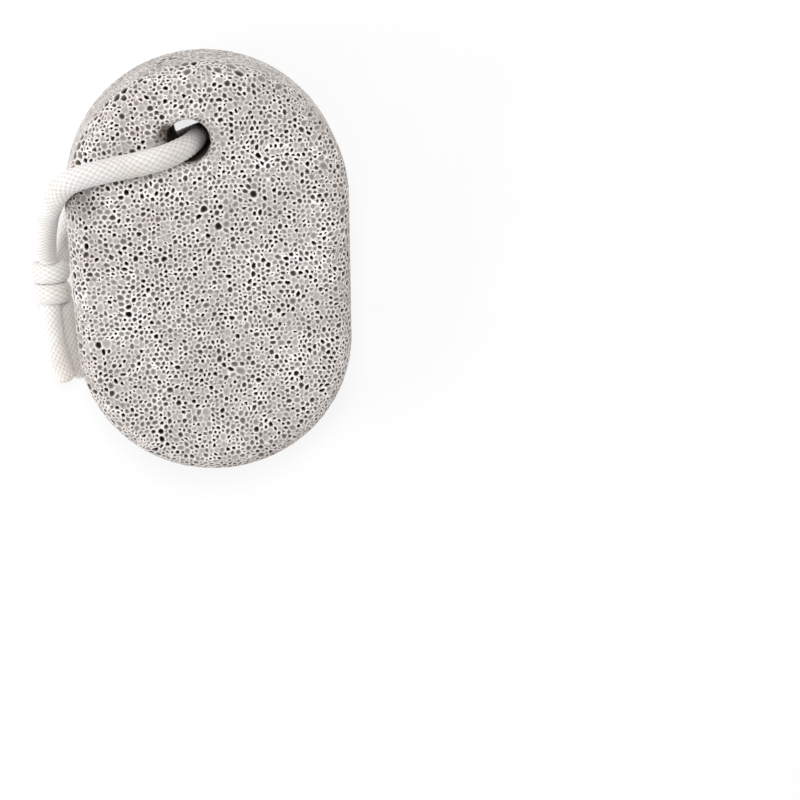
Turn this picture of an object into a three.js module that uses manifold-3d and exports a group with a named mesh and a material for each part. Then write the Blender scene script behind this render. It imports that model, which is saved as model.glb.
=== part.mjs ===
// A foot pumice on a cord: one flat oval stone, full of gas pits, with a hole near one end,
// and a white braided cord through the hole, both of its ends tied together in one knot.
// It lies on its flat side, on the stretch of cord that runs back under it.
// Millimetres, +Z up. The long axis lies along Y with the hole towards +Y,
// and the origin is under the middle of the stone, on the surface that it lies on.

import * as THREE from 'three';
import { mergeVertices } from 'three/addons/utils/BufferGeometryUtils.js';
import Module from 'manifold-3d';

const wasm = await Module();
wasm.setup();

// The stone
const LENGTH = 95;
const WIDTH = 63.5;
const THICKNESS = 25;
const FAR_END_TAPER = 0.015;
const EDGE_RADIUS = 5;
const HOLE_DIAMETER = 9.7;
const HOLE_X = -3.7;
const HOLE_Y = 30.4;
const HOLE_LIP = 1.4;
// The hole drifts this far to the right on its way down
const HOLE_DRIFT = 2.2;
const HOLE_SIDES = 20;
const LIP_STEPS = 3;
const CUTTER_OVERSHOOT = 1;

// How it leans on the cord below it: the hole end and the left side stand a little high
const LEAN_PITCH = THREE.MathUtils.degToRad(3.7);
const LEAN_ROLL = THREE.MathUtils.degToRad(2.6);

// The cord
const CORD_DIAMETER = 5;
const TAIL_DIAMETER = 4.4;
const CORD_SIDES = 9;
const CORD_STEP = 3;
const BED_CLEARANCE = 0.35;

// Pits: the biggest of the gas bubbles that the saw and the tumbler have cut open
const PITS = 415;
const PIT_TRIES = 12;
const PIT_SIDES = 5;
const PIT_RADIUS = 0.75;
const PIT_RADIUS_SPREAD = 0.75;
const PIT_DEPTH_RATIO = 1.15;
const PIT_MIN_WIDTH_RATIO = 0.75;
const PIT_LIFT = 0.5;
const FLAT_SPOT = [0, -13];
const FLAT_SPOT_RADIUS = 6.5;
const HOLE_MARGIN = 1.5;

const OUTLINE_STEPS = 20;
const EDGE_STEPS = 4;

// The two end circles of the oval, and the angle by which its sides lean in
const HOLE_END = { y: (LENGTH - WIDTH) / 2, radius: WIDTH / 2 };
const FAR_RADIUS = (WIDTH / 2) * (1 - FAR_END_TAPER);
const FAR_END = { y: FAR_RADIUS - LENGTH / 2, radius: FAR_RADIUS };
const SIDE_LEAN = Math.asin((HOLE_END.radius - FAR_END.radius) / (HOLE_END.y - FAR_END.y));

// The wall between the two rounded edges, the same with the edges rolled flat, and the share
// of all tries for a pit that goes to the two faces
const WALL_HEIGHT = THICKNESS - 2 * EDGE_RADIUS;
const BAND_HEIGHT = WALL_HEIGHT + Math.PI * EDGE_RADIUS;
const FACE_SHARE = 0.6;

// The cord's way from the knot over the left edge, down the hole and back below the stone
const LOOP_ROUTE = [
  [-37.7, 1.1, 7.4],
  [-37.7, 3.3, 9.5],
  [-37.3, 6.2, 13.0],
  [-36.5, 9.7, 17.3],
  [-35.5, 13.2, 21.6],
  [-34.2, 16.1, 26.1],
  [-32.5, 19.3, 29.8],
  [-29.9, 21.8, 32.0],
  [-26.4, 23.3, 33.3],
  [-22.1, 24.3, 33.7],
  [-17.3, 25.1, 33.3],
  [-12.5, 25.9, 33.3],
  [-7.9, 26.9, 32.0],
  [-4.5, 28.0, 29.3],
  [-2.4, 28.8, 25.4],
  [-1.4, 29.3, 20.5],
  [-0.7, 29.5, 15.2],
  [-1.4, 28.7, 9.5],
  [-4.0, 27.3, 5.3],
  [-8.2, 25.4, 2.95],
  [-14.0, 22.8, 2.55],
  [-20.6, 19.3, 2.55],
  [-27.8, 15.4, 2.55],
  [-32.3, 9.5, 2.65],
  [-34.5, 0.4, 2.8],
];
// The stretch of that way that lies in the hole and over its two worn lips
const BED_FROM = 11;
const BED_TO = 22;

const UPPER_TAIL_ROUTE = [
  [-38.0, -10.5, 6.3],
  [-37.9, -14.9, 6.4],
  [-37.5, -19.8, 6.3],
  [-36.6, -24.7, 6.2],
  [-35.2, -29.2, 6.1],
];
const LOWER_TAIL_ROUTE = [
  [-35.1, -10.5, 2.6],
  [-34.7, -15.2, 2.4],
  [-34.1, -20.1, 2.3],
  [-33.3, -24.9, 2.3],
  [-32.2, -29.4, 2.3],
];

// The knot: two wraps side by side, drawn tight around both strands
const KNOT_CENTRE = [-37.6, -5.1, 4.95];
const KNOT_HALF_WIDTH = 4.85;
const KNOT_HALF_LENGTH = 4.95;
const WRAP_ARC = THREE.MathUtils.degToRad(50);
const WRAP_STEPS = 4;
const KNOT_SIDES = 14;

// Vertices closer than this are one
const WELD = 1e-4;

// What each repeatable number is drawn for
const DRAW = { size: 1, longWay: 2, widthRatio: 3, turn: 4, part: 5, across: 6, along: 7 };

// Solids

function toSolid(geometry) {
  const bare = new THREE.BufferGeometry();
  bare.setAttribute('position', geometry.getAttribute('position').clone());
  if (geometry.index) bare.setIndex(geometry.index.clone());
  const merged = mergeVertices(bare, WELD);
  const mesh = new wasm.Mesh({
    numProp: 3,
    vertProperties: Float32Array.from(merged.getAttribute('position').array),
    triVerts: Uint32Array.from(merged.index.array),
  });
  return new wasm.Manifold(mesh);
}

function toGeometry(solid) {
  const mesh = solid.getMesh();
  const geometry = new THREE.BufferGeometry();
  geometry.setAttribute('position', new THREE.BufferAttribute(mesh.vertProperties, 3));
  geometry.setIndex(new THREE.BufferAttribute(mesh.triVerts, 1));
  geometry.computeVertexNormals();
  return geometry;
}

// A repeatable number from 0 to 1 for each index and each thing that it is drawn for
function chance(index, drawn) {
  const wave = Math.sin(index * 12.9898 + drawn * 78.233) * 43758.5453;
  return wave - Math.floor(wave);
}

// The oval, drawn inset from its widest outline

function ovalShape(inset) {
  const shape = new THREE.Shape();
  const near = HOLE_END.radius - inset;
  const far = FAR_END.radius - inset;
  shape.absarc(0, HOLE_END.y, near, -SIDE_LEAN, Math.PI + SIDE_LEAN, false);
  shape.absarc(0, FAR_END.y, far, Math.PI + SIDE_LEAN, 2 * Math.PI - SIDE_LEAN, false);
  return shape;
}

// A point of the oval's outline and its outward direction, by the share of the way round
function ovalPoint(share) {
  const sideLength = (HOLE_END.y - FAR_END.y) * Math.cos(SIDE_LEAN);
  const nearArc = HOLE_END.radius * (Math.PI + 2 * SIDE_LEAN);
  const farArc = FAR_END.radius * (Math.PI - 2 * SIDE_LEAN);
  let along = share * (2 * sideLength + nearArc + farArc);
  const at = (end, angle) => ({
    x: end.radius * Math.cos(angle),
    y: end.y + end.radius * Math.sin(angle),
    out: [Math.cos(angle), Math.sin(angle)],
  });
  const between = (a, b, part) => ({
    x: a.x + (b.x - a.x) * part,
    y: a.y + (b.y - a.y) * part,
    out: a.out,
  });
  const right = -SIDE_LEAN;
  const left = Math.PI + SIDE_LEAN;
  if (along < nearArc) return at(HOLE_END, right + along / HOLE_END.radius);
  along -= nearArc;
  if (along < sideLength) return between(at(HOLE_END, left), at(FAR_END, left), along / sideLength);
  along -= sideLength;
  if (along < farArc) return at(FAR_END, left + along / FAR_END.radius);
  along -= farArc;
  return between(at(FAR_END, right), at(HOLE_END, right), along / sideLength);
}

// The stone's blank, before anything is cut from it

function stoneBlank() {
  const geometry = new THREE.ExtrudeGeometry(ovalShape(EDGE_RADIUS), {
    depth: WALL_HEIGHT,
    curveSegments: OUTLINE_STEPS,
    bevelThickness: EDGE_RADIUS,
    bevelSize: EDGE_RADIUS,
    bevelSegments: EDGE_STEPS,
  });
  geometry.translate(0, 0, -WALL_HEIGHT / 2);
  return geometry;
}

// The drilled hole, whose two mouths are worn round

function holeCutter() {
  const bore = HOLE_DIAMETER / 2;
  const half = THICKNESS / 2;
  const mouth = bore + HOLE_LIP;
  const low = -half - CUTTER_OVERSHOOT;
  const profile = [[0, low], [mouth, low], [mouth, -half]];
  for (let step = 1; step <= LIP_STEPS; step += 1) {
    const turn = Math.PI / 2 * step / LIP_STEPS;
    profile.push([mouth - HOLE_LIP * Math.sin(turn), -half + HOLE_LIP * (1 - Math.cos(turn))]);
  }
  for (const [radius, height] of profile.slice().reverse()) profile.push([radius, -height]);
  const points = profile.map(([radius, height]) => new THREE.Vector2(radius, height));
  const geometry = new THREE.LatheGeometry(points, HOLE_SIDES);
  geometry.rotateX(Math.PI / 2);
  const slant = new THREE.Matrix4().makeShear(0, 0, 0, 0, -HOLE_DRIFT / THICKNESS, 0);
  geometry.applyMatrix4(slant);
  geometry.translate(HOLE_X + HOLE_DRIFT / 2, HOLE_Y, 0);
  return geometry;
}

// A pit is a small five-sided hollow, a little longer one way than the other

function pitCutter(at, out, index) {
  const surfaceRadius = PIT_RADIUS + PIT_RADIUS_SPREAD * chance(index, DRAW.size) ** 2;
  const depth = surfaceRadius * PIT_DEPTH_RATIO;
  const height = depth + PIT_LIFT;
  const geometry = new THREE.ConeGeometry(surfaceRadius * height / depth, height, PIT_SIDES);
  geometry.rotateY(2 * Math.PI * chance(index, DRAW.longWay));
  const widthRatio = PIT_MIN_WIDTH_RATIO + (1 - PIT_MIN_WIDTH_RATIO) * chance(index, DRAW.widthRatio);
  geometry.scale(1, 1, widthRatio);
  geometry.rotateY(2 * Math.PI * chance(index, DRAW.turn));
  geometry.rotateX(Math.PI);
  geometry.translate(0, height / 2 - depth, 0);
  const turn = new THREE.Quaternion().setFromUnitVectors(new THREE.Vector3(0, 1, 0), out);
  geometry.applyQuaternion(turn);
  geometry.translate(at.x, at.y, at.z);
  return geometry;
}

// A place on one of the two flat faces, or null off the face, by the hole or on the flat spot

function facePlace(side, u, v) {
  const x = (WIDTH / 2 - EDGE_RADIUS) * (2 * u - 1);
  const y = (LENGTH / 2 - EDGE_RADIUS) * (2 * v - 1);
  const end = y > HOLE_END.y ? HOLE_END : FAR_END;
  const inEnd = y > HOLE_END.y || y < FAR_END.y;
  const off = inEnd ? Math.hypot(x, y - end.y) : Math.abs(x);
  const toHole = Math.hypot(x - HOLE_X, y - HOLE_Y) - HOLE_DIAMETER / 2 - HOLE_LIP;
  const toSpot = Math.hypot(x - FLAT_SPOT[0], y - FLAT_SPOT[1]) - FLAT_SPOT_RADIUS;
  if (off > end.radius - EDGE_RADIUS || toHole < HOLE_MARGIN || toSpot < 0) return null;
  return { at: new THREE.Vector3(x, y, side * THICKNESS / 2), out: new THREE.Vector3(0, 0, side) };
}

// A place on the side wall or its two rounded edges, taken as one band

function bandPlace(u, v) {
  const rim = ovalPoint(u);
  const up = (2 * v - 1) * BAND_HEIGHT / 2;
  const past = Math.max(0, Math.abs(up) - WALL_HEIGHT / 2) / EDGE_RADIUS;
  const inset = EDGE_RADIUS * (1 - Math.cos(past));
  const level = Math.min(Math.abs(up), WALL_HEIGHT / 2) + EDGE_RADIUS * Math.sin(past);
  const [outX, outY] = rim.out;
  const at = new THREE.Vector3(rim.x - outX * inset, rim.y - outY * inset, Math.sign(up) * level);
  const flat = Math.cos(past);
  const out = new THREE.Vector3(outX * flat, outY * flat, Math.sign(up) * Math.sin(past));
  return { at, out: out.normalize() };
}

// Pits spread over the whole surface: of a few tries, each takes the place farthest from the rest

function pitCutters() {
  const places = [];
  let draw = 0;
  while (places.length < PITS) {
    let best = null;
    let bestGap = -1;
    for (let tries = 0; tries < PIT_TRIES; tries += 1) {
      draw += 1;
      const share = chance(draw, DRAW.part);
      const side = share < FACE_SHARE / 2 ? 1 : -1;
      const u = chance(draw, DRAW.across);
      const v = chance(draw, DRAW.along);
      const place = share < FACE_SHARE ? facePlace(side, u, v) : bandPlace(u, v);
      if (place === null) continue;
      const gap = Math.min(...places.map((other) => other.at.distanceTo(place.at)), LENGTH);
      if (gap > bestGap) {
        best = place;
        bestGap = gap;
      }
    }
    if (best !== null) places.push(best);
  }
  return places.map((place, index) => pitCutter(place.at, place.out, index));
}

// A round cord along a route

function cordTube(route, diameter) {
  const curve = new THREE.CatmullRomCurve3(route.map(([x, y, z]) => new THREE.Vector3(x, y, z)));
  const section = new THREE.Shape();
  for (let side = 0; side < CORD_SIDES; side += 1) {
    const angle = 2 * Math.PI * (side + 0.5) / CORD_SIDES;
    const point = [diameter / 2 * Math.cos(angle), diameter / 2 * Math.sin(angle)];
    if (side === 0) section.moveTo(...point);
    else section.lineTo(...point);
  }
  section.closePath();
  return new THREE.ExtrudeGeometry(section, {
    steps: Math.ceil(curve.getLength() / CORD_STEP),
    extrudePath: curve,
    bevelEnabled: false,
  });
}

// The knot's outer form, turned around the direction of the strands in it

function knotShape() {
  const tube = KNOT_HALF_LENGTH / 2;
  const ring = KNOT_HALF_WIDTH - tube;
  const profile = [new THREE.Vector2(0, -KNOT_HALF_LENGTH)];
  for (const wrap of [-1, 1]) {
    const from = wrap < 0 ? -Math.PI / 2 : -WRAP_ARC;
    const to = wrap < 0 ? WRAP_ARC : Math.PI / 2;
    for (let step = 0; step <= WRAP_STEPS; step += 1) {
      const angle = from + (to - from) * step / WRAP_STEPS;
      const radius = ring + tube * Math.cos(angle);
      profile.push(new THREE.Vector2(radius, tube * (wrap + Math.sin(angle))));
    }
  }
  profile.push(new THREE.Vector2(0, KNOT_HALF_LENGTH));
  const geometry = new THREE.LatheGeometry(profile, KNOT_SIDES);
  geometry.translate(...KNOT_CENTRE);
  return geometry;
}

// Assembly

const pumice = new THREE.MeshStandardMaterial({ color: 0xd6cfca, roughness: 0.95, metalness: 0 });
const braid = new THREE.MeshStandardMaterial({ color: 0xf3f0ea, roughness: 0.8, metalness: 0 });

const stone = new THREE.Mesh(stoneBlank(), pumice);
stone.name = 'stone';
stone.rotation.set(LEAN_PITCH, LEAN_ROLL, 0);
const lain = new THREE.Box3().setFromObject(stone, true);
stone.position.set(
  -(lain.min.x + lain.max.x) / 2,
  -(lain.min.y + lain.max.y) / 2,
  -lain.min.z,
);
stone.updateMatrix();

const bed = cordTube(LOOP_ROUTE.slice(BED_FROM, BED_TO), CORD_DIAMETER + 2 * BED_CLEARANCE);
bed.applyMatrix4(stone.matrix.clone().invert());
let body = toSolid(stone.geometry).subtract(toSolid(holeCutter())).subtract(toSolid(bed));
for (const pit of pitCutters()) body = body.subtract(toSolid(pit));
stone.geometry = toGeometry(body);

const cord = new THREE.Mesh(cordTube(LOOP_ROUTE, CORD_DIAMETER), braid.clone());
cord.name = 'cord';

const knot = new THREE.Mesh(knotShape(), braid.clone());
knot.name = 'knot';

const upperTail = new THREE.Mesh(cordTube(UPPER_TAIL_ROUTE, TAIL_DIAMETER), braid.clone());
upperTail.name = 'cord_end_upper';

const lowerTail = new THREE.Mesh(cordTube(LOWER_TAIL_ROUTE, TAIL_DIAMETER), braid.clone());
lowerTail.name = 'cord_end_lower';

const part = new THREE.Group();
part.add(stone, cord, knot, upperTail, lowerTail);

export default part;
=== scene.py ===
# A foot pumice on a cord: one flat oval stone, open gas pits all over it, a hole near one end,
# and a white braided cord through the hole with its two ends tied in one knot.
# Metres, +Z up. The long axis lies along Y with the hole towards +Y. The stone lies on its flat back
# and leans a little on the stretch of cord that runs below it.

import math
import random

import bmesh
import bpy
import numpy as np
from mathutils import Matrix, Vector
from mathutils.bvhtree import BVHTree


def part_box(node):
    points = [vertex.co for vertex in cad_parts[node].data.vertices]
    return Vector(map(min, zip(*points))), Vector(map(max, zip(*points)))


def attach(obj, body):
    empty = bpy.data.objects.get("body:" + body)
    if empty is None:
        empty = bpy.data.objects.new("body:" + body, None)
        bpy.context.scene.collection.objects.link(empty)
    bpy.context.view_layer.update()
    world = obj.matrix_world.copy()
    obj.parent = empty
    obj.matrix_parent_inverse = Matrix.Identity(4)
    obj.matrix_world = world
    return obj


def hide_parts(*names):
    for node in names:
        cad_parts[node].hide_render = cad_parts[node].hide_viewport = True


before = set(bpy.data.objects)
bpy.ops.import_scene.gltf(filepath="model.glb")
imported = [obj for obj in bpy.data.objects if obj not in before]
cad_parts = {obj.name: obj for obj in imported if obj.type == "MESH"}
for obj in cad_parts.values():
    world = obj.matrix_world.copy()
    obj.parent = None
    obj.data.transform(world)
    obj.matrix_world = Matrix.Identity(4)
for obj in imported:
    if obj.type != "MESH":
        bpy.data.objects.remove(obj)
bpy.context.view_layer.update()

MM = 0.001
# Places closer together than this count as level
CLOSE = 0.01 * MM
# How squarely a face looks up or down to count as flat
FACING = 0.9

# The stone
LENGTH = 95 * MM
WIDTH = 63.5 * MM
THICKNESS = 25 * MM
FAR_END_TAPER = 0.015
EDGE_RADIUS = 5 * MM
OUTLINE_SIDES = 96
EDGE_STEPS = 8
HOLE_DIAMETER = 9.7 * MM
HOLE_X = -3.7 * MM
HOLE_Y = 30.4 * MM
HOLE_SIDES = 48
HOLE_LIP = 1.4 * MM
LIP_STEPS = 5
# How far the tools that cut the hole's mouths reach past the stone
OVERRUN = 1 * MM
# How far the drilled hole drifts to the right on its way down
HOLE_DRIFT = 2.2 * MM
# The hollow worn beside the hole's upper mouth, in the stone's own frame
SCOOP = Vector((-8.0, 32.0, 12.0)) * MM
SCOOP_RADIUS = 2.2 * MM
SCOOP_DETAIL = 3
# Where brown shade is painted on the stone, in the hollow beside the hole and under the cord at the
# stone's edge: middle, reach and strength
BROWN_SHADE_SPOTS = [(SCOOP, 4.2 * MM, 1.0), (Vector((-28.0, 18.5, 11.0)) * MM, 6.5 * MM, 0.75)]
LEAN_PITCH = math.radians(3.7)
LEAN_ROLL = math.radians(2.6)

# The cord and its braid
CORD_DIAMETER = 5 * MM
BED_CLEARANCE = 0.35 * MM
BRAID_STRANDS = 12
BRAID_PITCH = 1.45 * MM
BRAID_RELIEF = 0.3 * MM
MEAN_WEAVE_HEIGHT = 0.65
YARN_ROUNDNESS = 0.6
CORD_END_ROUNDING = 1.6 * MM
# Rows of the cord's mesh: how far apart they are and how many corners each has
ROW_STEP = 0.25 * MM
ROW_SIDES = 72
# A route is drawn as this many short pieces between two of its points, and has at least so many rows
CURVE_PIECES = 40
FEWEST_ROWS = 8
# The tip of a rounded end, as the square of its share of the full width
TIP = 0.002

LOOP_ROUTE = [
    (-0.0377, 0.0011, 0.0074), (-0.0377, 0.0033, 0.0095), (-0.0373, 0.0062, 0.0130),
    (-0.0365, 0.0097, 0.0173), (-0.0355, 0.0132, 0.0216), (-0.0342, 0.0161, 0.0261),
    (-0.0325, 0.0193, 0.0298), (-0.0299, 0.0218, 0.0320), (-0.0264, 0.0233, 0.0333),
    (-0.0221, 0.0243, 0.0337), (-0.0173, 0.0251, 0.0333), (-0.0125, 0.0259, 0.0333),
    (-0.0079, 0.0269, 0.0320), (-0.0045, 0.0280, 0.0293), (-0.0024, 0.0288, 0.0254),
    (-0.0014, 0.0293, 0.0205), (-0.0007, 0.0295, 0.0152), (-0.0014, 0.0287, 0.0095),
    (-0.0040, 0.0273, 0.0053), (-0.0082, 0.0254, 0.00295), (-0.0140, 0.0228, 0.00255),
    (-0.0206, 0.0193, 0.00255), (-0.0278, 0.0154, 0.00255), (-0.0323, 0.0095, 0.00265),
    (-0.0345, 0.0004, 0.0028),
]
# The stretch of the loop that has worn a bed into the hole and its two lips
BED_FROM = 11
BED_TO = 22
BED_STEP = 1 * MM
BED_SIDES = 24
BED_END_ROUNDING = 0.2 * MM
# How much grey brown painted shade the cord has at points of its loop: a little where it lies on the
# stone, most in the hole
CORD_SHADE_SHARES = [(6, 0), (8, 0.1), (12, 0.06), (13, 0.14), (14, 0.7), (15, 1), (18, 1), (20, 0)]
UPPER_TAIL_ROUTE = [
    (-0.0380, -0.0105, 0.0063), (-0.0379, -0.0149, 0.0064), (-0.0375, -0.0198, 0.0063),
    (-0.0366, -0.0247, 0.0062), (-0.0352, -0.0292, 0.0061),
]
LOWER_TAIL_ROUTE = [
    (-0.0351, -0.0105, 0.0026), (-0.0347, -0.0152, 0.0024), (-0.0341, -0.0201, 0.0023),
    (-0.0333, -0.0249, 0.0023), (-0.0322, -0.0294, 0.0023),
]
# The two strands where the wraps of the knot squeeze them together
UPPER_CORE_ROUTE = [(-0.0379, -0.0077, 0.0063), (-0.0378, -0.0051, 0.0062), (-0.0377, -0.0024, 0.0065)]
LOWER_CORE_ROUTE = [(-0.0353, -0.0024, 0.0033), (-0.0361, -0.0051, 0.0036), (-0.0356, -0.0078, 0.0031)]
# Half thickness and half width of the strand at points of its way, in millimetres: it is squeezed in the
# knot and lies flat and wide where it is drawn over the stone
STRAND_SIZES = [
    (UPPER_TAIL_ROUTE[-1], 2.0, 2.3), (UPPER_TAIL_ROUTE[0], 2.1, 2.35), (UPPER_CORE_ROUTE[1], 1.6, 1.6),
    (LOOP_ROUTE[1], 2.2, 2.35), (LOOP_ROUTE[5], 2.35, 2.45), (LOOP_ROUTE[7], 2.4, 2.85),
    (LOOP_ROUTE[9], 2.4, 3.0), (LOOP_ROUTE[12], 2.4, 3.05), (LOOP_ROUTE[14], 2.3, 2.7),
    (LOOP_ROUTE[16], 2.1, 2.4), (LOOP_ROUTE[18], 2.1, 2.4), (LOOP_ROUTE[22], 2.4, 2.4),
    (LOWER_CORE_ROUTE[1], 1.6, 1.6), (LOWER_TAIL_ROUTE[0], 2.1, 2.25), (LOWER_TAIL_ROUTE[-1], 2.0, 2.2),
]

# The knot: a bit over two wraps, whose ends are thinned and tucked under
KNOT_CENTRE = Vector((-0.0376, -0.0051, 0.00495))
KNOT_HALF_WIDTH = 4.65 * MM
KNOT_TURNS = 2.2
KNOT_START = math.radians(-60)
WRAP_HALF_THICKNESS = 1.5 * MM
WRAP_HALF_WIDTH = 2.4 * MM
WRAP_MEAN_RADIUS = 3.6 * MM
WRAP_SPACING = 4.9 * MM
# The share of a turn after which the cord crosses over to the next wrap, and how far it creeps before
CROSSING_FROM = 0.72
CREEP = 0.04
TUCK_ARC = math.radians(50)
TUCK_DEPTH = 1.5 * MM
TUCKED_SIZE = 0.6
WRAP_END_ROUNDING = 1.2 * MM

# The camera, found by laying the stone's outline and hole over the photograph
EYE = Vector((0.0099, 0.0946, 0.5089))
LOOKS_AT = Vector((0.0436, -0.0392, 0.0))
CAMERA_ROLL = math.radians(1.83)
CAMERA_LENS = 97.9
NEAREST_SEEN = 0.01

# Light: how brightly the light table and the white room glow, and the lamps with their place, the point
# that each is turned to, its size and its power
GLOW = 0.78
ROOM_GLOW = 0.63
FLOOR_SIZE = 3.0
LAMPS = [
    ("key", (0.02, 0.46, 1.0), (0, 0, 0), 0.4, 6.4),
    ("fill", (-0.58, -0.1, 0.32), (-0.03, 0, 0.01), 0.3, 2.1),
]

# How fine the patterns of the materials are, in repeats to the metre, and how deep their relief is
PATCHES = 90.0
PORES = 2300.0
PORE_DEPTH = 0.12 * MM
CLOUDS = 160.0
FIBRES = 1300.0
FIBRE_DEPTH = 0.08 * MM
GRAIN = 40.0
# How far light spreads inside the cord
CORD_LIGHT_SPREAD = 1.8 * MM


# Selecting and finishing

def leave_edit():
    if bpy.context.object is not None and bpy.context.object.mode != "OBJECT":
        bpy.ops.object.mode_set(mode="OBJECT")


def take_none():
    leave_edit()
    bpy.ops.object.select_all(action="DESELECT")


def take(piece):
    take_none()
    piece.select_set(True)
    bpy.context.view_layer.objects.active = piece


def open_up(piece, kind):
    take(piece)
    bpy.ops.object.mode_set(mode="EDIT")
    bpy.ops.mesh.select_mode(type=kind)
    bpy.ops.mesh.select_all(action="DESELECT")


def pick(piece, kind, wanted):
    bpy.ops.mesh.select_all(action="DESELECT")
    mesh = bmesh.from_edit_mesh(piece.data)
    for part in getattr(mesh, kind):
        if wanted(part):
            part.select_set(True)
    mesh.select_flush_mode()
    bmesh.update_edit_mesh(piece.data)


def put_on(piece, kind, **settings):
    take(piece)
    modifier = piece.modifiers.new(kind, kind)
    for name, value in settings.items():
        setattr(modifier, name, value)
    bpy.ops.object.modifier_apply(modifier=modifier.name)


def cut_away(piece, cutter):
    put_on(piece, "BOOLEAN", operation="DIFFERENCE", object=cutter, solver="EXACT")
    bpy.data.objects.remove(cutter)


# Materials

def colour(code):
    values = [int(code[i:i + 2], 16) / 255 for i in (1, 3, 5)]
    return [v / 12.92 if v <= 0.04045 else ((v + 0.055) / 1.055) ** 2.4 for v in values] + [1]


def add_node(tree, kind, settings=None, **links):
    node = tree.nodes.new("ShaderNode" + kind)
    for name, value in (settings or {}).items():
        if hasattr(node, name):
            setattr(node, name, value)
        else:
            node.inputs[name].default_value = value
    for name, source in links.items():
        tree.links.new(source, node.inputs[name.replace("_", " ")])
    return node


# What was noted on the mesh under a name
def noted(tree, name):
    return add_node(tree, "Attribute", {"attribute_name": name}).outputs["Fac"]


def new_material(name):
    material = bpy.data.materials.new(name)
    material.use_nodes = True
    tree = material.node_tree
    return material, tree, tree.nodes["Principled BSDF"]


def ramp(tree, source, stops):
    node = add_node(tree, "ValToRGB", Fac=source)
    points = node.color_ramp.elements
    while len(points) < len(stops):
        points.new(1.0)
    for point, (place, code) in zip(points, stops):
        point.position = place
        point.color = colour(code)
    return node.outputs["Color"]


# Sawn and tumbled pumice: a matt net of pale walls with a painted highlight round the deep pits, patchy
# and full of the finest pores drawn as specks of painted shade, with painted shade in the pits from grey
# where they are shallow to almost black where they are deep, darker the deeper a place lies, and
# painted brown shade deep in the hole, in the hollow beside it and under the cord at the stone's edge
def pumice_sawn():
    material, tree, shader = new_material("pumice_sawn_and_tumbled")
    where = add_node(tree, "TexCoord").outputs["Object"]
    tone = noted(tree, "painted_pit_shade")
    middle = noted(tree, "pit_middle")
    rim = noted(tree, "painted_rim_highlight")
    depth = noted(tree, "pit_depth")
    brown_shade_mask = noted(tree, "painted_brown_shade")
    patches = add_node(tree, "TexNoise", {"Scale": PATCHES, "Detail": 3.0}, Vector=where).outputs["Fac"]
    wall = ramp(tree, patches, [(0.35, "#dfd9d6"), (0.5, "#e7e2e0"), (0.65, "#f0edeb")])
    cells = add_node(tree, "TexVoronoi", {"Scale": PORES}, Vector=where)
    pores = cells.outputs["Distance"]
    # Painted shade of the finest pores: dark specks in a share of the walls
    speck = ramp(tree, pores, [(0.1, "#7f7874"), (0.5, "#f2f0ee"), (0.8, "#ffffff")])
    some = ramp(tree, cells.outputs["Color"], [(0.42, "#000000"), (0.6, "#ffffff")])
    # Painted highlight: the walls round deeper pits are brighter
    edge = ramp(tree, rim, [(0.0, "#e2dfdd"), (0.8, "#ffffff")])
    wall = add_node(tree, "MixRGB", {"blend_type": "MULTIPLY", "Fac": 1.0}, Color1=wall, Color2=edge)
    wall = add_node(tree, "MixRGB", {"blend_type": "MULTIPLY"},
                    Fac=some, Color1=wall.outputs["Color"], Color2=speck)
    # Painted shade inside the pits, from grey for shallow ones to almost black for deep ones
    inside = ramp(tree, tone, [(0.0, "#bdb8b4"), (0.3, "#918b87"), (0.6, "#5f5a56"), (1.0, "#1d1a19")])
    pitted = add_node(tree, "MixRGB", {}, Fac=ramp(tree, middle, [(0.0, "#000000"), (0.32, "#ffffff")]),
                      Color1=wall.outputs["Color"], Color2=inside)
    # Painted shade: darker the deeper a place lies below the smooth stone
    sunk = ramp(tree, depth, [(0.0, "#ffffff"), (1.0, "#3c3836")])
    shaded = add_node(tree, "MixRGB", {"blend_type": "MULTIPLY", "Fac": 1.0},
                      Color1=pitted.outputs["Color"], Color2=sunk)
    # Painted brown shade deep in the hole, in the hollow beside it and under the cord at the stone's edge
    brown_shaded = add_node(tree, "MixRGB", {"blend_type": "MULTIPLY", "Color2": colour("#6e5f57")},
                     Fac=brown_shade_mask, Color1=shaded.outputs["Color"])
    tree.links.new(brown_shaded.outputs["Color"], shader.inputs["Base Color"])
    shader.inputs["Roughness"].default_value = 0.95
    shader.inputs["Specular IOR Level"].default_value = 0.25
    bump = add_node(tree, "Bump", {"Strength": 0.4, "Distance": PORE_DEPTH}, Height=pores)
    tree.links.new(bump.outputs["Normal"], shader.inputs["Normal"])
    return material


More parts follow.
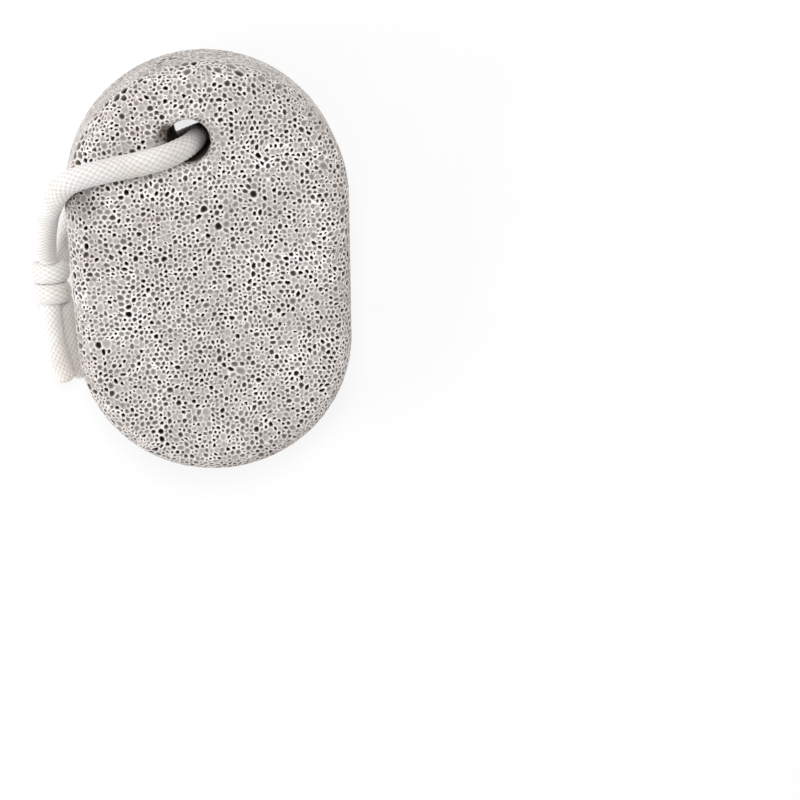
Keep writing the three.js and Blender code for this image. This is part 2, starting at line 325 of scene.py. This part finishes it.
# Soft white polyester braid: fine yarns that cross at a slant, with painted shade in the creases between
# them, that let a little light through, with grey brown painted shade where the cord runs through the
# hole and a little where it lies on the stone
def braided_cord_white():
    material, tree, shader = new_material("braided_polyester_white")
    where = add_node(tree, "TexCoord").outputs["Object"]
    weave = noted(tree, "weave_height")
    # Painted shade in the creases of the braid, darker where the weave is low
    yarn = ramp(tree, weave, [(0.0, "#b3afab"), (0.35, "#d2cfcc"), (0.8, "#e4e2e0")])
    clouds = add_node(tree, "TexNoise", {"Scale": CLOUDS, "Detail": 2.0}, Vector=where).outputs["Fac"]
    worn = ramp(tree, clouds, [(0.3, "#f3efe9"), (0.6, "#ffffff")])
    mixed = add_node(tree, "MixRGB", {"blend_type": "MULTIPLY", "Fac": 0.8}, Color1=yarn, Color2=worn)
    # Grey brown painted shade where the cord runs through the hole, and a little where it lies on the
    # stone
    cord_shade_mask = noted(tree, "painted_cord_shade")
    painted_cord_shade = add_node(tree, "MixRGB", {"blend_type": "MULTIPLY", "Color2": colour("#5d4e46")},
                      Fac=cord_shade_mask, Color1=mixed.outputs["Color"])
    tree.links.new(painted_cord_shade.outputs["Color"], shader.inputs["Base Color"])
    shader.inputs["Roughness"].default_value = 0.85
    shader.inputs["Specular IOR Level"].default_value = 0.3
    shader.inputs["Subsurface Weight"].default_value = 0.8
    shader.inputs["Subsurface Radius"].default_value = (1, 0.95, 0.9)
    shader.inputs["Subsurface Scale"].default_value = CORD_LIGHT_SPREAD
    shader.inputs["Sheen Weight"].default_value = 0.25
    shader.inputs["Sheen Roughness"].default_value = 0.5
    fibre = add_node(tree, "TexNoise", {"Scale": FIBRES, "Detail": 4.0}, Vector=where).outputs["Fac"]
    bump = add_node(tree, "Bump", {"Strength": 0.4, "Distance": FIBRE_DEPTH}, Height=fibre)
    tree.links.new(bump.outputs["Normal"], shader.inputs["Normal"])
    return material


# White frosted acrylic, lit from below like a light table, so that shadows on it stay faint
def light_table():
    material, tree, shader = new_material("white_frosted_acrylic")
    where = add_node(tree, "TexCoord").outputs["Object"]
    grain = add_node(tree, "TexNoise", {"Scale": GRAIN}, Vector=where).outputs["Fac"]
    tree.links.new(ramp(tree, grain, [(0.3, "#757575"), (0.7, "#787878")]), shader.inputs["Base Color"])
    shader.inputs["Roughness"].default_value = 0.9
    shader.inputs["Specular IOR Level"].default_value = 0.1
    shader.inputs["Emission Color"].default_value = (1, 1, 1, 1)
    shader.inputs["Emission Strength"].default_value = GLOW
    return material


# Camera

def set_camera():
    data = bpy.data.cameras.new("camera")
    data.lens = CAMERA_LENS
    data.clip_start = NEAREST_SEEN
    camera = bpy.data.objects.new("camera", data)
    bpy.context.scene.collection.objects.link(camera)
    back = (EYE - LOOKS_AT).normalized()
    up = Vector((0, 1, 0))
    up = (up - back * up.dot(back)).normalized()
    right = up.cross(back)
    turned_right = right * math.cos(CAMERA_ROLL) - up * math.sin(CAMERA_ROLL)
    turned_up = up * math.cos(CAMERA_ROLL) + right * math.sin(CAMERA_ROLL)
    turn = Matrix((turned_right, turned_up, back)).transposed()
    camera.matrix_world = Matrix.Translation(EYE) @ turn.to_4x4()
    bpy.context.scene.camera = camera


# The cord's way: a smooth curve through the points of a route, then points at even steps along it

def smooth_way(route, step):
    points = [np.array(p, float) for p in route]
    points = [2 * points[0] - points[1], *points, 2 * points[-1] - points[-2]]
    fine = []
    for before, start, end, after in zip(points, points[1:], points[2:], points[3:]):
        gaps = [float(np.sum((b - a) ** 2)) ** 0.25
                for a, b in ((before, start), (start, end), (end, after))]
        leave = (start - before) / gaps[0] - (end - before) / (gaps[0] + gaps[1]) + (end - start) / gaps[1]
        reach = (end - start) / gaps[1] - (after - start) / (gaps[1] + gaps[2]) + (after - end) / gaps[2]
        for t in np.linspace(0, 1, CURVE_PIECES, endpoint=False):
            fine.append((2 * t ** 3 - 3 * t ** 2 + 1) * start + (t ** 3 - 2 * t ** 2 + t) * leave * gaps[1]
                        + (3 * t ** 2 - 2 * t ** 3) * end + (t ** 3 - t ** 2) * reach * gaps[1])
    fine.append(points[-2])
    fine = np.array(fine)
    along = np.concatenate([[0], np.cumsum(np.linalg.norm(np.diff(fine, axis=0), axis=1))])
    even = np.linspace(0, along[-1], max(FEWEST_ROWS, round(along[-1] / step)) + 1)
    return np.stack([np.interp(even, along, fine[:, k]) for k in range(3)], axis=1)


def unit(rows):
    return rows / np.linalg.norm(rows, axis=1, keepdims=True)


# Directions square to the way that turn with it as little as they can
def carried_outs(way, first):
    heading = unit(np.gradient(way, axis=0))
    outs = [np.array(first, float)]
    for tangent in heading:
        out = outs[-1] - tangent * np.dot(outs[-1], tangent)
        outs.append(out / np.linalg.norm(out))
    return np.array(outs[1:])


# How high the yarns of the braid stand at a place, from 0 in a crease to 1 on top of a yarn:
# two families run slantwise round the cord and pass over and under each other in turn
def weave_height(around, along):
    left = around + along
    right = around - along
    left_yarn = np.floor(left)
    right_yarn = np.floor(right)
    left_top = np.sin(np.pi * (left - left_yarn)) ** YARN_ROUNDNESS
    right_top = np.sin(np.pi * (right - right_yarn)) ** YARN_ROUNDNESS
    left_over = 0.5 + 0.5 * np.cos(np.pi * (right - 0.5 + left_yarn))
    right_over = 0.5 - 0.5 * np.cos(np.pi * (left - 0.5 + right_yarn))
    return np.maximum(left_top * left_over, right_top * right_over)


# A tube along a way, oval if its two half widths differ, with the braid's relief and closed round ends
def braided_tube(name, way, outs, half_out, half_side, end_length, sides=ROW_SIDES, relief=BRAID_RELIEF):
    heading = unit(np.gradient(way, axis=0))
    side_ways = np.cross(heading, outs)
    rows = len(way)
    along = np.concatenate([[0], np.cumsum(np.linalg.norm(np.diff(way, axis=0), axis=1))])
    to_end = np.minimum(along, along[-1] - along)
    shut = np.sqrt(np.clip(1 - (1 - np.clip(to_end / end_length, 0, 1)) ** 2, TIP, 1))
    angle = 2 * np.pi * np.arange(sides) / sides
    around = np.tile(BRAID_STRANDS * angle / (2 * np.pi), (rows, 1))
    height = weave_height(around, np.tile(along[:, None] / BRAID_PITCH, (1, sides)))
    proud = relief * (height - MEAN_WEAVE_HEIGHT) * shut[:, None]
    reach_out = (half_out * shut)[:, None] + proud
    reach_side = (half_side * shut)[:, None] + proud
    places = (way[:, None, :]
              + outs[:, None, :] * (reach_out * np.cos(angle))[:, :, None]
              + side_ways[:, None, :] * (reach_side * np.sin(angle))[:, :, None])
    corners = [tuple(p) for p in places.reshape(-1, 3)] + [tuple(way[0]), tuple(way[-1])]
    faces = []
    for row in range(rows - 1):
        low = row * sides
        for k in range(sides):
            after = (k + 1) % sides
            faces.append((low + k, low + after, low + sides + after, low + sides + k))
    first, last = rows * sides, rows * sides + 1
    top = (rows - 1) * sides
    for k in range(sides):
        after = (k + 1) % sides
        faces.append((after, k, first))
        faces.append((top + k, top + after, last))
    mesh = bpy.data.meshes.new(name)
    mesh.from_pydata(corners, [], faces)
    layer = mesh.attributes.new("weave_height", "FLOAT", "POINT")
    layer.data.foreach_set("value", np.append(height.ravel(), [MEAN_WEAVE_HEIGHT] * 2).astype(np.float32))
    piece = bpy.data.objects.new(name, mesh)
    bpy.context.scene.collection.objects.link(piece)
    open_up(piece, "FACE")
    bpy.ops.mesh.select_all(action="SELECT")
    bpy.ops.mesh.normals_make_consistent(inside=False)
    leave_edit()
    bpy.ops.object.shade_smooth()
    return piece


# The whole cord from one end to the other: upper end, knot, loop through the stone, knot, lower end
def make_cord(finish):
    route = UPPER_TAIL_ROUTE[::-1] + UPPER_CORE_ROUTE + LOOP_ROUTE + LOWER_CORE_ROUTE + LOWER_TAIL_ROUTE
    way = smooth_way(route, ROW_STEP)
    along = np.concatenate([[0], np.cumsum(np.linalg.norm(np.diff(way, axis=0), axis=1))])

    def reached(point):
        return along[np.argmin(np.linalg.norm(way - np.array(point), axis=1))]

    places = [reached(point) for point, thick, wide in STRAND_SIZES]
    half_out = np.interp(along, places, [thick * MM for point, thick, wide in STRAND_SIZES])
    half_side = np.interp(along, places, [wide * MM for point, thick, wide in STRAND_SIZES])
    outs = carried_outs(way, (0, 0, 1))
    piece = braided_tube("braided_cord", way, outs, half_out, half_side, CORD_END_ROUNDING)
    # Painted shade along the cord, most inside the hole
    cord_shade = np.interp(along, [reached(LOOP_ROUTE[k]) for k, share in CORD_SHADE_SHARES],
                     [share for k, share in CORD_SHADE_SHARES])
    layer = piece.data.attributes.new("painted_cord_shade", "FLOAT", "POINT")
    layer.data.foreach_set("value", np.append(np.repeat(cord_shade, ROW_SIDES), [0, 0]).astype(np.float32))
    piece.data.materials.append(finish)
    return piece, way


def smooth_step(share):
    share = np.clip(share, 0, 1)
    return share * share * (3 - 2 * share)


# Two wraps of the same cord, side by side and pulled flat around both strands, with tucked ends
def make_knot(finish):
    count = round(KNOT_TURNS * 2 * math.pi * WRAP_MEAN_RADIUS / ROW_STEP)
    turned = np.linspace(0, 1, count + 1) * KNOT_TURNS
    angle = KNOT_START + turned * 2 * math.pi
    rise = smooth_step(np.minimum(angle - angle[0], angle[-1] - angle) / TUCK_ARC)
    thick = WRAP_HALF_THICKNESS * (TUCKED_SIZE + (1 - TUCKED_SIZE) * rise)
    wide = WRAP_HALF_WIDTH * (TUCKED_SIZE + (1 - TUCKED_SIZE) * rise)
    reach = KNOT_HALF_WIDTH - WRAP_HALF_THICKNESS - TUCK_DEPTH * (1 - rise)
    part = turned - np.floor(turned)
    step = np.floor(turned) + smooth_step((part - CROSSING_FROM) / (1 - CROSSING_FROM)) + CREEP * part
    along = WRAP_SPACING * (0.5 - np.clip(step, 0, 1 + CREEP))
    way = np.stack([KNOT_CENTRE.x + reach * np.cos(angle), KNOT_CENTRE.y + along,
                    KNOT_CENTRE.z + reach * np.sin(angle)], axis=1)
    heading = unit(np.gradient(way, axis=0))
    outs = np.stack([np.cos(angle), np.zeros(len(angle)), np.sin(angle)], axis=1)
    outs = unit(outs - heading * np.sum(outs * heading, axis=1, keepdims=True))
    piece = braided_tube("knot_wraps", way, outs, thick, wide, WRAP_END_ROUNDING)
    piece.data.materials.append(finish)
    return piece


# The smooth stone before its pits, in its own frame with its thickness along Z

def stone_blank():
    take_none()
    bpy.ops.mesh.primitive_cylinder_add(vertices=OUTLINE_SIDES, radius=WIDTH / 2, depth=THICKNESS)
    blank = bpy.context.object
    blank.name = "stone_blank"
    far_radius = WIDTH / 2 * (1 - FAR_END_TAPER)
    open_up(blank, "VERT")
    pick(blank, "verts", lambda v: v.co.y < -CLOSE)
    bpy.ops.transform.resize(value=(1 - FAR_END_TAPER, 1 - FAR_END_TAPER, 1), center_override=(0, 0, 0))
    bpy.ops.transform.translate(value=(0, far_radius - LENGTH / 2, 0))
    bpy.ops.mesh.select_all(action="INVERT")
    bpy.ops.transform.translate(value=(0, (LENGTH - WIDTH) / 2, 0))
    bpy.ops.mesh.select_mode(type="EDGE")
    pick(blank, "edges", lambda e: abs(e.verts[0].co.z - e.verts[1].co.z) < CLOSE)
    bpy.ops.mesh.bevel(offset=EDGE_RADIUS, segments=EDGE_STEPS, affect="EDGES")
    leave_edit()
    return blank


# The drilled hole, with both of its mouths worn round and its lower end off to the right
def hole_cutter():
    take_none()
    straight = THICKNESS / 2 - HOLE_LIP
    bpy.ops.mesh.primitive_cylinder_add(vertices=HOLE_SIDES, radius=HOLE_DIAMETER / 2, depth=2 * straight,
                                        location=(HOLE_X, HOLE_Y, 0))
    cutter = bpy.context.object
    bpy.ops.object.transform_apply(location=True, rotation=False, scale=False)
    for side in (1, -1):
        open_up(cutter, "FACE")
        pick(cutter, "faces", lambda f: f.normal.z * side > FACING)
        radius, height = HOLE_DIAMETER / 2, 0
        for step in range(1, LIP_STEPS + 1):
            turn = math.pi / 2 * step / LIP_STEPS
            new_radius = HOLE_DIAMETER / 2 + HOLE_LIP * (1 - math.cos(turn))
            new_height = HOLE_LIP * math.sin(turn)
            bpy.ops.mesh.extrude_region_move(
                TRANSFORM_OT_translate={"value": (0, 0, side * (new_height - height))})
            wider = new_radius / radius
            bpy.ops.transform.resize(value=(wider, wider, 1), center_override=(HOLE_X, HOLE_Y, 0))
            radius, height = new_radius, new_height
        bpy.ops.mesh.extrude_region_move(TRANSFORM_OT_translate={"value": (0, 0, side * OVERRUN)})
        leave_edit()
    open_up(cutter, "VERT")
    pick(cutter, "verts", lambda v: v.co.z < 0)
    bpy.ops.transform.translate(value=(HOLE_DRIFT, 0, 0))
    leave_edit()
    return cutter


def scoop_cutter():
    take_none()
    bpy.ops.mesh.primitive_ico_sphere_add(subdivisions=SCOOP_DETAIL, radius=SCOOP_RADIUS, location=SCOOP)
    cutter = bpy.context.object
    bpy.ops.object.transform_apply(location=True, rotation=False, scale=False)
    return cutter


def bed_cutter(to_stone):
    way = smooth_way(LOOP_ROUTE[BED_FROM:BED_TO], BED_STEP)
    way = np.array([to_stone @ Vector(p) for p in way])
    radius = np.full(len(way), CORD_DIAMETER / 2 + BED_CLEARANCE)
    return braided_tube("bed", way, carried_outs(way, (1, 0, 0)), radius, radius, BED_END_ROUNDING,
                        sides=BED_SIDES, relief=0.0)


# Where the stone lies: leaning on its cord, over the same spot as the CAD stone
def stone_place(blank):
    lean = Matrix.Rotation(LEAN_PITCH, 4, "X") @ Matrix.Rotation(LEAN_ROLL, 4, "Y")
    leaned = np.array([lean @ v.co for v in blank.data.vertices])
    low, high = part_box("stone")
    middle = (leaned.min(axis=0) + leaned.max(axis=0)) / 2
    shift = Vector(((low.x + high.x) / 2 - middle[0], (low.y + high.y) / 2 - middle[1],
                    -leaned[:, 2].min()))
    return Matrix.Translation(shift) @ lean


# Faces of an uneven size over the whole blank, one for each pit: an even skin is thinned by chance,
# made uneven and joined up anew, and then each of its corners becomes a face
CELL = 1.08 * MM
# The share of corners taken out: on the upper face and round the hole, on the lower face, on the sides
THINNING = 0.07
THINNING_BELOW = 0.34
THINNING_SIDES = 0.28
# How thick the layer is that counts as the upper or the lower face
FACE_BAND = 1.0 * MM
SHORTEST_EDGE = 0.45 * MM
UNEVENNESS = 0.42 * MM
UNEVEN_SEEDS = (11, 12)
FLIP_LIMIT = math.radians(60)
EVENING_OUT = 0.3


def cell_skin(blank, chance):
    take(blank)
    bpy.ops.object.duplicate()
    skin = bpy.context.object
    skin.name = "pumice_stone"
    put_on(skin, "REMESH", mode="VOXEL", voxel_size=CELL)
    put_on(skin, "SHRINKWRAP", target=blank)
    open_up(skin, "VERT")
    face_level = THICKNESS / 2 - FACE_BAND

    def thinned(vertex):
        off_hole = math.hypot(vertex.co.x - HOLE_X, vertex.co.y - HOLE_Y) > HOLE_DIAMETER
        if vertex.co.z < -face_level and off_hole:
            return chance.random() < THINNING_BELOW
        return chance.random() < (THINNING_SIDES if vertex.co.z < face_level and off_hole else THINNING)

    pick(skin, "verts", thinned)
    bpy.ops.mesh.dissolve_verts()
    bpy.ops.mesh.select_all(action="SELECT")
    bpy.ops.mesh.quads_convert_to_tris(quad_method="BEAUTY", ngon_method="BEAUTY")
    for seed in UNEVEN_SEEDS:
        bpy.ops.transform.vertex_random(offset=UNEVENNESS, seed=seed)
        leave_edit()
        put_on(skin, "SHRINKWRAP", target=blank)
        open_up(skin, "VERT")
        bpy.ops.mesh.select_all(action="SELECT")
        bpy.ops.mesh.beautify_fill(angle_limit=FLIP_LIMIT)
    leave_edit()
    turned_out = bpy.data.node_groups.new("corners_to_faces", "GeometryNodeTree")
    turned_out.interface.new_socket("Mesh", in_out="INPUT", socket_type="NodeSocketGeometry")
    turned_out.interface.new_socket("Mesh", in_out="OUTPUT", socket_type="NodeSocketGeometry")
    way_in = turned_out.nodes.new("NodeGroupInput")
    dual = turned_out.nodes.new("GeometryNodeDualMesh")
    way_out = turned_out.nodes.new("NodeGroupOutput")
    turned_out.links.new(way_in.outputs[0], dual.inputs[0])
    turned_out.links.new(dual.outputs[0], way_out.inputs[0])
    put_on(skin, "NODES", node_group=turned_out)
    open_up(skin, "VERT")
    bpy.ops.mesh.select_all(action="SELECT")
    bpy.ops.mesh.remove_doubles(threshold=SHORTEST_EDGE)
    bpy.ops.mesh.delete_loose()
    bpy.ops.mesh.select_all(action="SELECT")
    bpy.ops.mesh.fill_holes(sides=0)
    bpy.ops.mesh.vertices_smooth(factor=EVENING_OUT, repeat=1)
    leave_edit()
    put_on(skin, "SHRINKWRAP", target=blank)
    return skin


# The kinds of pit: share of the faces, half of the wall beside it, depth, and how dark its painted shade
# is inside
PIT_KINDS = [
    (0.17, 0.09 * MM, 0.22 * MM, 0.10),
    (0.20, 0.13 * MM, 0.32 * MM, 0.25),
    (0.22, 0.16 * MM, 0.48 * MM, 0.40),
    (0.18, 0.17 * MM, 0.70 * MM, 0.62),
    (0.13, 0.20 * MM, 1.00 * MM, 0.88),
    (0.10, 0.24 * MM, 1.40 * MM, 1.00),
]
# Round the hole the pits are worn shallow, and their painted shade is paler for it
LIP_ZONE = 3.0 * MM
LIP_PIT_DEPTH = 0.4 * MM
LIP_PIT_SHADE = 0.5
SMALLEST_PIT = 0.26 * MM
# How far the walls between the pits stand proud or sunk by chance
ROUGHNESS = 0.1 * MM
ROUGHNESS_SEED = 5
# How far beside the hole's wall its brown shade reaches
BROWN_REACH = 2.2 * MM
STONE_SEED = 4


def sink_pits(skin, chance):
    skin.data.attributes.new("painted_pit_shade", "FLOAT", "FACE")
    skin.data.attributes.new("painted_rim_highlight", "FLOAT", "FACE")
    skin.data.attributes.new("pit_middle", "FLOAT", "POINT")
    plan = {}
    for face in skin.data.polygons:
        draw = chance.random()
        for kind, (share, wall, depth, tone) in enumerate(PIT_KINDS):
            if draw < share:
                plan[face.index] = kind
                break
            draw -= share
    centres = {f.index: f.center.copy() for f in skin.data.polygons}
    sizes = {f.index: math.sqrt(f.area) for f in skin.data.polygons}
    open_up(skin, "FACE")
    mesh = bmesh.from_edit_mesh(skin.data)
    number = mesh.faces.layers.int.new("cell")
    for face in mesh.faces:
        face[number] = face.index + 1
    bmesh.update_edit_mesh(skin.data)
    for kind, (share, wall, depth, tone) in enumerate(PIT_KINDS):
        for lip in (False, True):
            def chosen(face):
                cell = face[number] - 1
                if cell < 0 or plan.get(cell) != kind:
                    return False
                if sizes[cell] < 2 * wall + SMALLEST_PIT:
                    return False
                off = math.hypot(centres[cell].x - HOLE_X, centres[cell].y - HOLE_Y)
                return lip == (off < HOLE_DIAMETER / 2 + LIP_ZONE)
            mesh = bmesh.from_edit_mesh(skin.data)
            number = mesh.faces.layers.int["cell"]
            pick(skin, "faces", chosen)
            bpy.ops.mesh.inset(thickness=wall, use_individual=True)
            sunk = min(depth, LIP_PIT_DEPTH) if lip else depth
            bpy.ops.mesh.poke(offset=-sunk)
            mesh = bmesh.from_edit_mesh(skin.data)
            number = mesh.faces.layers.int["cell"]
            shade = mesh.faces.layers.float["painted_pit_shade"]
            middle = mesh.verts.layers.float["pit_middle"]
            for face in mesh.faces:
                if face.select:
                    # Painted shade inside the pit, paler round the hole
                    face[shade] = tone * (LIP_PIT_SHADE if lip else 1.0)
                    face[number] = 0
                    for vertex in face.verts:
                        if all(f.select for f in vertex.link_faces):
                            vertex[middle] = 1.0
            bmesh.update_edit_mesh(skin.data)
            bpy.ops.mesh.region_to_loop()
            bpy.ops.mesh.mark_sharp()
            bpy.ops.mesh.select_mode(type="FACE")
    mesh = bmesh.from_edit_mesh(skin.data)
    number = mesh.faces.layers.int["cell"]
    rim = mesh.faces.layers.float["painted_rim_highlight"]
    # Painted highlight on the walls round each pit, brighter the darker the pit
    for face in mesh.faces:
        if face[number] > 0:
            face[rim] = PIT_KINDS[plan[face[number] - 1]][3]
    bmesh.update_edit_mesh(skin.data)
    bpy.ops.mesh.select_all(action="SELECT")
    bpy.ops.transform.vertex_random(offset=ROUGHNESS, seed=ROUGHNESS_SEED)
    leave_edit()
    bpy.ops.object.shade_smooth()


# Depth below the smooth stone, in millimetres, which the material turns into painted shade, and how much
# painted brown shade a place has: deeper inside the drilled hole, in the scoop beside it and where the
# cord runs over the stone's edge
def note_depths(skin, blank):
    tree = BVHTree.FromPolygons([v.co for v in blank.data.vertices],
                                [p.vertices for p in blank.data.polygons])
    depths, browns = [], []
    for vertex in skin.data.vertices:
        depths.append(tree.find_nearest(vertex.co)[3] / MM)
        # Painted brown shade: darker deeper inside the hole, and round the hollow and where the cord
        # crosses the edge
        hole_x = HOLE_X + HOLE_DRIFT * (0.5 - vertex.co.z / THICKNESS)
        off = math.hypot(vertex.co.x - hole_x, vertex.co.y - HOLE_Y) - HOLE_DIAMETER / 2
        below = (THICKNESS / 2 - abs(vertex.co.z)) / (2 * HOLE_LIP)
        brown = max(0.0, min(1.0, below)) if off < BROWN_REACH else 0.0
        for middle, reach, strength in BROWN_SHADE_SPOTS:
            brown = max(brown, strength * (1.0 - (vertex.co - middle).length / reach))
        browns.append(brown)
    for name, values in (("pit_depth", depths), ("painted_brown_shade", browns)):
        layer = skin.data.attributes.new(name, "FLOAT", "POINT")
        layer.data.foreach_set("value", np.array(values, np.float32))


def make_stone(finish):
    chance = random.Random(STONE_SEED)
    blank = stone_blank()
    place = stone_place(blank)
    cut_away(blank, hole_cutter())
    cut_away(blank, scoop_cutter())
    cut_away(blank, bed_cutter(place.inverted()))
    skin = cell_skin(blank, chance)
    sink_pits(skin, chance)
    note_depths(skin, blank)
    bpy.data.objects.remove(blank)
    take(skin)
    skin.matrix_world = place
    bpy.ops.object.transform_apply(location=True, rotation=True, scale=True)
    skin.data.materials.clear()
    skin.data.materials.append(finish)
    return skin


# Floor and light

def make_floor(finish):
    take_none()
    bpy.ops.mesh.primitive_plane_add(size=FLOOR_SIZE)
    floor = bpy.context.object
    floor.name = "floor"
    floor.data.materials.append(finish)


def add_lamp(name, place, aim, size, watts):
    data = bpy.data.lights.new(name, "AREA")
    data.size = size
    data.energy = watts
    light = bpy.data.objects.new(name, data)
    light.location = place
    light.rotation_euler = (Vector(aim) - Vector(place)).to_track_quat("-Z", "Y").to_euler()
    bpy.context.scene.collection.objects.link(light)


def set_light():
    world = bpy.data.worlds.new("studio")
    world.use_nodes = True
    background = world.node_tree.nodes["Background"]
    background.inputs["Color"].default_value = (1, 1, 1, 1)
    background.inputs["Strength"].default_value = ROOM_GLOW
    bpy.context.scene.world = world
    for lamp in LAMPS:
        add_lamp(*lamp)
    bpy.context.scene.view_settings.view_transform = "Standard"


# Making

set_camera()
cord_finish = braided_cord_white()
cord, cord_way = make_cord(cord_finish)
knot = make_knot(cord_finish)
stone = make_stone(pumice_sawn())
make_floor(light_table())
set_light()

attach(stone, "root")
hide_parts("stone")
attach(cord, "root")
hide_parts("cord", "cord_end_upper", "cord_end_lower")
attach(knot, "root")
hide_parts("knot")
